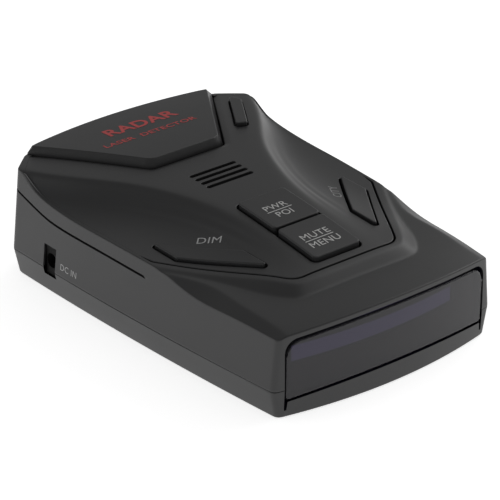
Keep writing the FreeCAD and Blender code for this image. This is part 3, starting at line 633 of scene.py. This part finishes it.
def makeTopPanel():
    outline = roundedLoop(panelPoints, 0.6)
    keyBlock = [keyCorners(1)[0], keyCorners(1)[1], keyCorners(0)[2], keyCorners(0)[3]]
    holes = [holeFrom(keyBlock, keys["round"], keys["gap"])]
    for blade in (keys["blade"], mirrorLoop(keys["blade"])):
        holes.append(holeFrom(blade, keys["bladeRound"], keys["gap"]))
    holes += [holeFrom(keys["release"], 0.8, keys["releaseGap"])]
    slots = [slotHole(number) for number in range(speakerSlots["count"])]
    fade = seamFade(outline)
    besideNotch = np.array([inNotch(x, y) for x, y in outline])
    edge = np.where(besideNotch, seam["edge"], seam["edge"] * fade)
    radii = [edge] + [keys["holeEdge"]] * len(holes) + [speakerSlots["edge"]] * len(slots)
    panel = slab("topPanel", [inward(outline, seam["gap"] / 2 * fade)] + holes + slots, radii,
                 lambda x, y: panelZ(x, y) - notchBevel(x, y), case["wall"], 0.5, "case_black", "detector")
    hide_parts("top_panel")
    return panel


topPanel = makeTopPanel()
print("top panel made", len(topPanel.data.vertices))


# Upper case: hood and rim as one skin, joined to a drafted wall with its openings
groove = {"half": 0.28, "depth": 0.7, "start": -5.2, "fade": 0.8, "line": splineThrough([
    (-7, 17.55), (10, 17.8), (17, 17.8), (24, 17.9), (28, 18.2), (34, 19.4), (40, 20.9), (44, 22.0)])}


# Rows up the wall: above the split line, round the groove and below the crease
wallSteps = {
    "foot": (0.18, 0.5), "above": 9, "groove": (-1.5, -1.0, -0.8, 0, 0.8, 1.0, 1.5), "top": 0.08,
    "splitInset": 0.14,
}


def topOfWall(column):
    z = 21.0
    for _ in range(6):
        x, y = columnAt(column, z)
        z = float(caseZ(np.array([x]), np.array([y]))[0]) - case["edgeRound"]
    if column[0] == "rear" and abs(column[1]) < notchRear:
        z = coverFoot - 0.2
    return z


def wallRows(column, top):  # heights up one column, with rows for the openings and the groove
    kind, t = column[:2]
    low = case["split"]
    if kind == "front":
        levels = [openingTop(t), openingTop(t) + 0.15]
        band = np.linspace(levels[1], top - 0.1, wallSteps["above"])[1:-1]
    elif kind == "rear":
        hole = rearOpening if abs(t) <= rearOpening["half"] + 0.01 else bracketSlot
        levels = [hole["low"], hole["high"]]
        band = np.linspace(levels[1], top, wallSteps["above"])[1:-1]
    elif kind in ("armCorner", "sweep"):
        levels = [bracketSlot["low"], bracketSlot["high"]]
        band = np.linspace(levels[1], top, wallSteps["above"])[1:-1]
    else:
        y = columnAt(column, 17.0)[1]
        middle = min(float(groove["line"](y)), top - 0.9)
        levels = [inlet["high"] if kind == "side" else 13.0, 14.6]
        band = [middle + k * groove["half"] for k in wallSteps["groove"]]
    return [low, *[low + step for step in wallSteps["foot"]], *levels, *band, top - wallSteps["top"], top]


def grooveDepth(column, z):
    if column[0] not in ("side", "rearCorner"):
        return 0.0
    y = columnAt(column, z)[1]
    fade = min(max((y - groove["start"]) / groove["fade"], 0), 1)
    away = abs(z - float(groove["line"](y)))
    return groove["depth"] * fade if away < groove["half"] * 0.9 else 0.0


def between(i, j, z):  # halfway from one column to the next
    (x0, y0), (x1, y1) = columnAt(columns[i], z), columnAt(columns[j], z)
    return (x0 + x1) / 2, (y0 + y1) / 2


def makeUpperCase():
    tops = [topOfWall(column) for column in columns]
    isRim = [not (c[0] == "rear" and abs(c[1]) < notchRear) for c in columns]
    first = next(i for i, rim in enumerate(isRim) if not rim)
    last = len(isRim) - next(i for i, rim in enumerate(isRim[::-1]) if not rim)
    order = list(range(last, len(columns))) + list(range(first))
    outer = [columnAt(columns[i], tops[i]) for i in order]
    seamLine = roundedLoop(panelPoints, 0.6)
    panelLoop = [tuple(p) for p in inward(seamLine, -seam["gap"] / 2 * seamFade(seamLine))]
    inner = [p for p in panelLoop[::-1] if not inNotch(*p)]
    start = min(range(len(inner)), key=lambda i: -inner[i][1] - (inner[i][0] > 0) * 100)
    inner = inner[start:] + inner[:start]
    loop = outer + inner
    radii = np.array([case["edgeRound"]] * len(outer) + list(seam["edge"] * seamFade(inner)))
    verts, faces, rings = plate([loop], [radii], caseZ, 0.45)
    ring = rings[0]
    wallIndex = []
    for i, column in enumerate(columns):
        rows = wallRows(column, tops[i])
        indices = []
        for k, z in enumerate(rows):
            if k == len(rows) - 1 and isRim[i]:
                indices.append(ring[order.index(i)])
                continue
            x, y = columnAt(column, z)
            depth = grooveDepth(column, z) + (wallSteps["splitInset"] if k == 0 else 0.0)
            size = math.hypot(x, y * 0.2)
            verts.append((x - depth * x / size, y - depth * 0.2 * y / size, z))
            indices.append(len(verts) - 1)
        wallIndex.append(indices)
    for i in range(len(columns)):
        j = (i + 1) % len(columns)
        middleX, middleY = between(i, j, 9)
        for k in range(len(wallIndex[i]) - 1):
            isFront = middleY < -40 and abs(middleX) < opening["half"] and k < 3
            isInlet = middleX < -30 and abs(middleY - inlet["place"]) < inlet["half"] and k < 3
            isRear = middleY > 45 and abs(middleX) < rearOpening["half"] and k == 3
            isSlot = middleY > 43 and bracketSlot["inner"] < middleX < bracketSlot["outer"] and k == 3
            if isFront or isInlet or isRear or isSlot:
                continue
            faces.append((wallIndex[i][k], wallIndex[j][k], wallIndex[j][k + 1], wallIndex[i][k + 1]))
    count = len(inner)
    innerRing = ring[len(outer):]
    below = []
    for index in innerRing:
        x, y, z = verts[index]
        verts.append((x, y, z - seam["depth"]))
        below.append(len(verts) - 1)
    faces += [(below[i], below[i + 1], innerRing[i + 1], innerRing[i]) for i in range(count - 1)]
    upper = asObject("upperCase", verts, faces, "case_black", "detector", wall=case["skinWall"])
    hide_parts("upper_case")
    return upper


upperCase = makeUpperCase()
print("upper case made", len(upperCase.data.vertices))


# Lower case: the tapered tray wall, its floor with counterbores, and the recess for the label
tray = {
    "screws": [(29.4, 14.0), (-29.4, 14.0), (25.2, -36.0), (-25.2, -36.0)],
    "counterbore": 2.6, "boreDepth": 2.2, "boreEdge": 0.12,
    "recess": [(-18, -12), (18, -12), (18, 12), (-18, 12)], "recessDepth": 0.3, "recessEdge": 0.08,
}


def makeLowerCase():
    verts, faces, wallIndex = [], [], []
    insets = [0.55, 0.2, 0.0, 0.0, 0.0, 0.0, 0.0, 0.16]
    for column in columns:
        isFront = column[0] == "front"
        low = openingLow(column[1]) if isFront else 3.8
        low = opening["slit"] if isFront and column[1] > 27.4 else low
        heights = [0.0, 0.12, 0.45, low, max(low + 0.1, inlet["low"]), 6.0, 6.46, case["split"] - 0.05]
        indices = []
        for z, inset in zip(heights, insets):
            x, y = columnAt(column, z)
            size = math.hypot(x, y)
            verts.append((x - inset * x / size, y - inset * y / size, z))
            indices.append(len(verts) - 1)
        wallIndex.append(indices)
    for i in range(len(columns)):
        j = (i + 1) % len(columns)
        middleX, middleY = between(i, j, 5)
        for k in range(len(insets) - 1):
            isFront = middleY < -40 and abs(middleX) < opening["half"] and k >= 3
            isInlet = middleX < -30 and abs(middleY - inlet["place"]) < inlet["half"] and k >= 4
            if isFront or isInlet:
                continue
            faces.append((wallIndex[i][k], wallIndex[j][k], wallIndex[j][k + 1], wallIndex[i][k + 1]))
    foot = [(verts[w[0]][0], verts[w[0]][1]) for w in wallIndex]
    bore, turns = tray["counterbore"], np.linspace(0, 2 * math.pi, 33)[:-1]
    holes = [[(x + bore * math.cos(-a), y + bore * math.sin(-a)) for a in turns] for x, y in tray["screws"]]
    holes.append(reversedLoop(roundedLoop(withRound(tray["recess"], 0.6), 1.5)))
    edges = [0.0] + [tray["boreEdge"]] * len(tray["screws"]) + [tray["recessEdge"]]
    floorVerts, floorFaces, rings = plate([foot] + holes, edges, lambda x, y: np.zeros(len(x)), 2.5)
    base = len(verts)
    verts += [(x, y, -z) for x, y, z in floorVerts]
    faces += [tuple(base + i for i in reversed(face)) for face in floorFaces]
    depths = [tray["boreDepth"]] * len(tray["screws"]) + [tray["recessDepth"]]
    for hole, depth in zip(rings[1:], depths):
        ring = [base + i for i in hole]
        top = []
        for index in ring:
            x, y, z = verts[index]
            verts.append((x, y, depth))
            top.append(len(verts) - 1)
        joinRings(faces, top, ring)
        faces.append(tuple(top))
    lower = asObject("lowerCase", verts, faces, "case_black", "detector")
    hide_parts("lower_case")
    return lower


lowerCase = makeLowerCase()
print("lower case made", len(lowerCase.data.vertices))


# Radar cover: flat crowned top, sloped edge, straight foot
cover = {
    "front": 21.0, "half": 10.25, "rearHalf": 26.2, "rearPlace": 45.3, "rear": 46.2, "rearGap": 0.12,
    "slope": 1.1, "raise": 1.6, "shoulder": 25.8, "round": 3.2, "rearRound": 0.4, "edge": 0.22, "wall": 1.6,
}


def coverLoop(inset):
    slope = (cover["rearPlace"] - cover["front"]) / (cover["rearHalf"] - cover["half"])
    side = inset * math.hypot(1, slope) / slope
    front, rear = cover["front"] + inset, cover["rear"]
    half = cover["half"] - side + inset / slope
    rearHalf = half + (rear - front) / slope
    corners = [(-half, front, cover["round"]), (half, front, cover["round"])]
    corners.append((rearHalf, rear, cover["rearRound"]))
    bow = case["rearEdge"] - case["armRear"]
    for share in np.linspace(1, -1, 25)[1:-1]:
        x = rearHalf * share
        y = case["rearEdge"] - bow * (x / case["armHalf"]) ** 2 - cover["rearGap"]
        corners.append((x, max(y, rear), 0))
    return corners + [(-rearHalf, rear, cover["rearRound"])]


def evenLoop(corners, perCorner, perSide):  # the same number of points whatever the size
    points, count = [], len(corners)
    arcs = []
    for i, (x, y, radius) in enumerate(corners):
        before, after = corners[i - 1][:2], corners[(i + 1) % count][:2]
        arcs.append(cornerArc(before, (x, y), after, radius, perCorner) if radius else [(x, y)])
    for i, arc in enumerate(arcs):
        points += arc
        if i < 2 or i == count - 1:
            (x0, y0), (x1, y1) = arc[-1], arcs[(i + 1) % count][0]
            shares = [k / perSide for k in range(1, perSide)]
            points += [(x0 + (x1 - x0) * share, y0 + (y1 - y0) * share) for share in shares]
    return points


def coverSkin(x, y):
    return plateauZ(y) + cover["raise"]


def makeCover():
    foot, top = [evenLoop(coverLoop(inset), 10, 24) for inset in (0.0, cover["slope"])]
    verts, faces, rings = plate([top], [cover["edge"]], coverSkin, 0.9)
    upper = rings[0]
    for z in (cover["shoulder"], coverFoot):
        lower = list(range(len(verts), len(verts) + len(foot)))
        verts += [(x, y, z) for x, y in foot]
        joinRings(faces, upper, lower)
        upper = lower
    piece = asObject("radarCover", verts, faces, "case_black", "detector", wall=cover["wall"])
    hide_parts("antenna_cover")


makeCover()
print("radar cover made")


def keySkin(x, y):
    return plateauZ(y) + keys["proud"] + 0 * x


def bladeSkin(x, y):
    return panelZ(x, y) + keys["bladeProud"]


def releaseSkin(x, y):
    return plateauZ(y) + keys["releaseProud"]


def makeKey(name, corners, radius, skin, body, node, foot=keys["foot"]):
    loop = roundedLoop(withRound(corners, radius), 0.5)
    key = slab(name, [loop], [keys["edge"]], skin, 0, 0.7, "key_plastic", body,
               under=lambda x, y: np.full(len(x), foot))
    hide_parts(node)


makeKey("powerKey", keyCorners(0), keys["round"], keySkin, "power_key", "power_button")
makeKey("muteKey", keyCorners(1), keys["round"], keySkin, "mute_key", "mute_button")
makeKey("cityKey", keys["blade"], keys["bladeRound"], bladeSkin, "city_key", "city_button")
makeKey("dimKey", mirrorLoop(keys["blade"]), keys["bladeRound"], bladeSkin, "dim_key", "dim_button")
makeKey("releaseKey", keys["release"], keys["releaseRound"], releaseSkin, "mount_release", "release_button",
        keys["releaseFoot"])
print("keys made")


# Display window: a bowed smoked plate in the front opening
window = {"cornerRound": 0.7, "edge": 0.3, "sunk": 0.12, "thickness": 1.5}


def windowSkin(x, z):
    return -(frontY(x) + window["sunk"])


def makeWindow():
    lowGap, topGap = opening["lowGap"], opening["topGap"]
    half = opening["half"] - lowGap
    corners = [(x, openingLow(x, lowGap), window["cornerRound"] if abs(x) == half else 0)
               for x in np.linspace(-half, half, 25)]
    corners += [(half - 0.001, openingTop(half, topGap) + 0.2, 0)]
    corners += [(x, openingTop(x, topGap), 0) for x in half * np.sin(np.linspace(1.5, -1.5, 61))]
    corners += [(0.001 - half, openingTop(half, topGap) + 0.2, 0)]
    loop = roundedLoop(corners, 0.9)
    glass = slab("displayWindow", [loop], [window["edge"]], windowSkin, window["thickness"], 1.2,
                 "smoked_window", "detector", toWorld=lambda p: (p[0], -p[2], p[1]))
    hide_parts("display_window")


makeWindow()
print("display window made")


# Legends: thin print that follows the surface under it
prints = {
    "lift": 0.035, "ruleWidth": 0.24, "ruleShift": -0.5,
    "keys": [("PWR", 2.7, (-0.6, -10.2), "power_key"), ("POI", 2.7, (-0.4, -13.35), "power_key"),
             ("MUTE", 2.8, (-0.5, -23.5), "mute_key"), ("MENU", 2.8, (-0.3, -26.75), "mute_key")],
    "rules": [("powerRule", -11.65, 3.4, "power_key"), ("muteRule", -24.95, 3.9, "mute_key")],
    "inlet": {"size": 2.1, "place": 19.9, "height": 9.0, "lift": 0.03},
}


def letters(name, text, size, turn, stretch, weight=0.0):
    curve = bpy.data.curves.new(name, "FONT")
    curve.body = text
    curve.size = size
    curve.align_x = "CENTER"
    curve.align_y = "CENTER"
    curve.resolution_u = 4
    curve.space_character = 1.05
    curve.offset = weight
    temp = bpy.data.objects.new(name + "Curve", curve)
    bpy.context.scene.collection.objects.link(temp)
    depsgraph = bpy.context.evaluated_depsgraph_get()
    mesh = bpy.data.meshes.new_from_object(temp.evaluated_get(depsgraph))
    bpy.data.objects.remove(temp)
    turnBy = math.radians(turn)
    flat = np.array([v.co[:2] for v in mesh.vertices])
    flat[:, 0] *= stretch
    x = flat[:, 0] * math.cos(turnBy) - flat[:, 1] * math.sin(turnBy)
    y = flat[:, 0] * math.sin(turnBy) + flat[:, 1] * math.cos(turnBy)
    faces = [tuple(p.vertices) for p in mesh.polygons]
    bpy.data.meshes.remove(mesh)
    return x, y, faces


def printLegend(name, text, size, place, turn, skin, body, paint, stretch=1.0, weight=0.0):
    x, y, faces = letters(name, text, size, turn, stretch, weight)
    x, y = x + place[0], y + place[1]
    asObject(name, list(zip(x, y, skin(x, y) + prints["lift"])), faces, paint, body)


def printInletLegend():  # on the left side wall in front of the inlet
    spec = prints["inlet"]
    along, up, faces = letters("inletLegend", "DC IN", spec["size"], 0, 1.0)
    ys, zs = spec["place"] - along, spec["height"] + up
    verts = [(-caseHalf(y, z) - spec["lift"], y, z) for y, z in zip(ys, zs)]
    asObject("inletLegend", verts, faces, legendGrey, "detector")


for text, size, place, body in prints["keys"]:
    printLegend("legend" + text.title(), text, size, place, 0, keySkin, body, legendWhite, 1.05)
for name, y, half, body in prints["rules"]:
    left, right, thin = prints["ruleShift"] - half, prints["ruleShift"] + half, prints["ruleWidth"] / 2
    rule = [(left, y - thin), (right, y - thin), (right, y + thin), (left, y + thin)]
    points = np.array(roundedLoop(withRound(rule, 0.1), 0.6))
    z = keySkin(points[:, 0], points[:, 1]) + prints["lift"]
    asObject(name, list(zip(points[:, 0], points[:, 1], z)), [tuple(range(len(points)))], legendWhite, body)
printLegend("legendDim", "DIM", 3.0, (-17.4, -8.3), -48, panelZ, "detector", legendGrey, 1.05)
printLegend("legendCity", "CITY", 2.8, (20.3, -6.4), 62, panelZ, "detector", legendGrey, 1.05)
printLegend("coverTitle", "RADAR", 5.2, (0.6, 39.6), 0, coverSkin, "detector", legendRed, 1.12, 0.13)
printLegend("coverLine", "LASER  DETECTOR", 2.3, (-0.8, 33.9), 0, coverSkin, "detector", legendRed, 1.3, 0.04)
printInletLegend()
print("legends made")


# Room, light and camera
room = {
    "reach": 3.0, "floorDrop": 0.00005, "floorGlow": 0.72,
    "low": (0.40, (0.38, 0.38, 0.38, 1)), "high": (0.78, (0.34, 0.34, 0.34, 1)),
    "lights": [("leftLight", (-1.3, 0.75, 0.42), (1.4, 0.6), 4),
               ("rightLight", (1.3, 0.1, 0.9), (1.3, 0.9), 7)],
    "lightTarget": (0, 0, 0.015),
}


def makeRoom():
    mesh = bpy.data.meshes.new("floor")
    reach = room["reach"]
    corners = [(-reach, -reach, 0), (reach, -reach, 0), (reach, reach, 0), (-reach, reach, 0)]
    mesh.from_pydata(corners, [], [(0, 1, 2, 3)])
    floor = bpy.data.objects.new("floor", mesh)
    bpy.context.scene.collection.objects.link(floor)
    floor.location.z = -room["floorDrop"]
    paper = moulded("floorPaper", (0.80, 0.80, 0.80), 0.8, grain=0.002, bump=0.01, drift=0.01)
    glow = paper.node_tree.nodes["Principled BSDF"]  # a lit table: the pale floor glows a little
    glow.inputs["Emission Color"].default_value = (1, 1, 1, 1)
    glow.inputs["Emission Strength"].default_value = room["floorGlow"]
    mesh.materials.append(paper)
    world = bpy.data.worlds.new("studio")
    world.use_nodes = True
    nodes, links = world.node_tree.nodes, world.node_tree.links
    sky = nodes.new("ShaderNodeTexCoord")
    split = nodes.new("ShaderNodeSeparateXYZ")
    shade = nodes.new("ShaderNodeValToRGB")  # a little dimmer overhead than at the horizon
    for element, (position, color) in zip(shade.color_ramp.elements, (room["low"], room["high"])):
        element.position, element.color = position, color
    links.new(sky.outputs["Generated"], split.inputs["Vector"])
    links.new(split.outputs["Z"], shade.inputs["Fac"])
    links.new(shade.outputs["Color"], nodes["Background"].inputs["Color"])
    bpy.context.scene.world = world


def addLight(name, place, size, power):
    light = bpy.data.lights.new(name, "AREA")
    light.shape = "RECTANGLE"
    light.size, light.size_y = size
    light.energy = power
    obj = bpy.data.objects.new(name, light)
    bpy.context.scene.collection.objects.link(obj)
    obj.location = place
    obj.rotation_euler = (Vector(room["lightTarget"]) - Vector(place)).to_track_quat("-Z", "Y").to_euler()


shot = {
    "azimuth": -39.64, "elevation": 27.47, "roll": 0.56,
    "distance": 0.6375, "lens": 204.34, "target": (0.00423, 0.0040, 0.00833),
}


def makeCamera():
    az, el, roll = [math.radians(shot[k]) for k in ("azimuth", "elevation", "roll")]
    back = Vector((math.sin(az) * math.cos(el), -math.cos(az) * math.cos(el), math.sin(el)))
    right = Vector((math.cos(az), math.sin(az), 0))
    up = back.cross(right)
    right, up = right * math.cos(roll) + up * math.sin(roll), up * math.cos(roll) - right * math.sin(roll)
    camera = bpy.data.cameras.new("camera")
    camera.lens = shot["lens"]
    camera.sensor_width = 36
    camera.clip_start, camera.clip_end = 0.05, 20
    obj = bpy.data.objects.new("camera", camera)
    bpy.context.scene.collection.objects.link(obj)
    place = Vector(shot["target"]) + back * shot["distance"]
    turn = [[right[i], up[i], back[i], place[i]] for i in range(3)] + [[0, 0, 0, 1]]
    obj.matrix_world = Matrix(turn)
    bpy.context.scene.camera = obj


makeRoom()
for light in room["lights"]:
    addLight(*light)
makeCamera()
bpy.context.scene.view_settings.view_transform = "Standard"
print("room, light and camera made")

bpy.context.view_layer.update()
